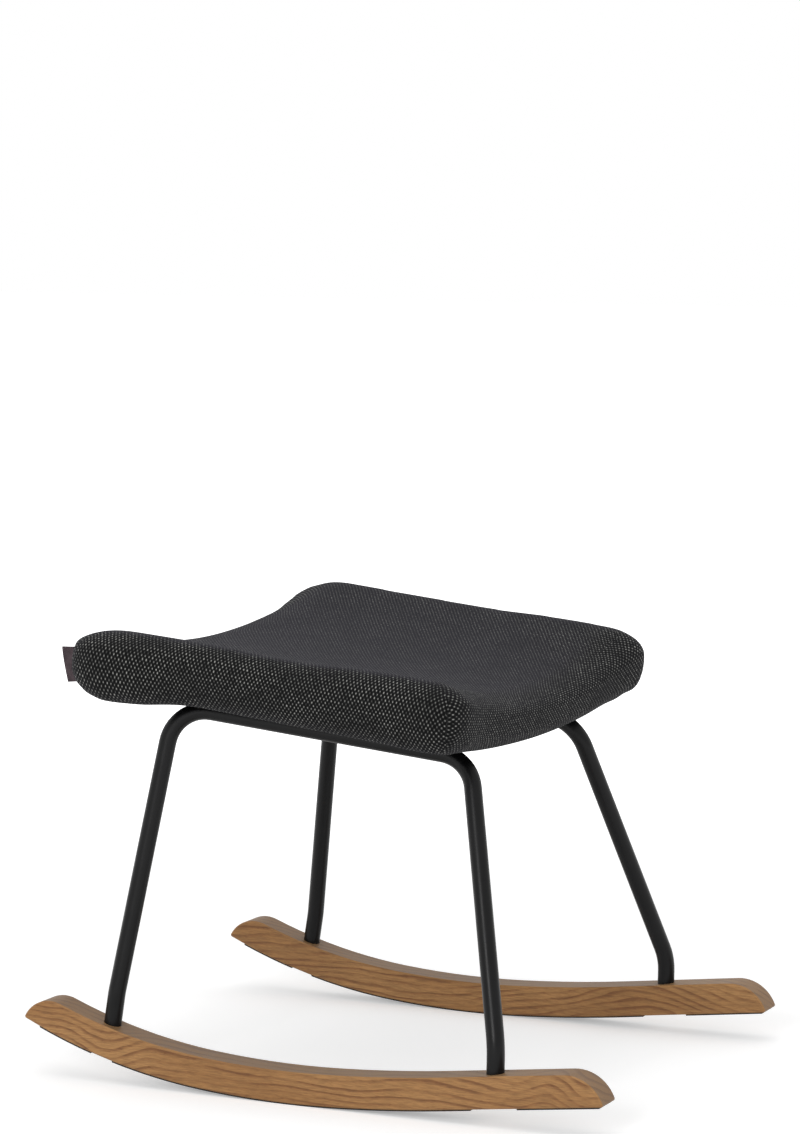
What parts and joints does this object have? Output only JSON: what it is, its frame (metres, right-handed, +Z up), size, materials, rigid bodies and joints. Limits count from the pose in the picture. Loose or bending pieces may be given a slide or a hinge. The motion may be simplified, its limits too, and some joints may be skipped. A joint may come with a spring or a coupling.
{
  "type": "rocking footstool",
  "caption": "Low upholstered footstool with a saddle-shaped cushion on splayed tube legs that stand on curved wooden rockers.",
  "frame": {"origin": "on the floor, at the middle of the part's length and width; the rockers touch the floor 15.5 mm behind it", "axes": "+X forward along the rockers, to the low front end of the seat; +Y to the far side; +Z up"},
  "size_m": [0.5696, 0.502, 0.4121],
  "materials": {
    "oak": "satin",
    "coated_steel": "satin",
    "zinc_steel": "satin",
    "glide_strip": "matte",
    "plywood": "matte",
    "foam": "matte",
    "woven_cover": "matte",
    "tab_fabric": "matte",
    "dust_fabric": "matte"
  },
  "bodies": {
    "root": {"rocker_near": "oak", "rocker_far": "oak", "side_frame_near": "coated_steel", "side_frame_far": "coated_steel", "cross_bar_back": "coated_steel", "cross_bar_front": "coated_steel", "foot_bolts": "zinc_steel", "foot_washers": "zinc_steel", "seat_screws": "zinc_steel", "glide_near_back": "glide_strip", "glide_near_mid": "glide_strip", "glide_near_front": "glide_strip", "glide_far_back": "glide_strip", "glide_far_mid": "glide_strip", "glide_far_front": "glide_strip", "seat_board": "plywood", "seat_foam": "foam", "cushion_cover": "woven_cover", "cover_tab": "tab_fabric", "dust_cloth": "dust_fabric"}
  },
  "joints": []
}
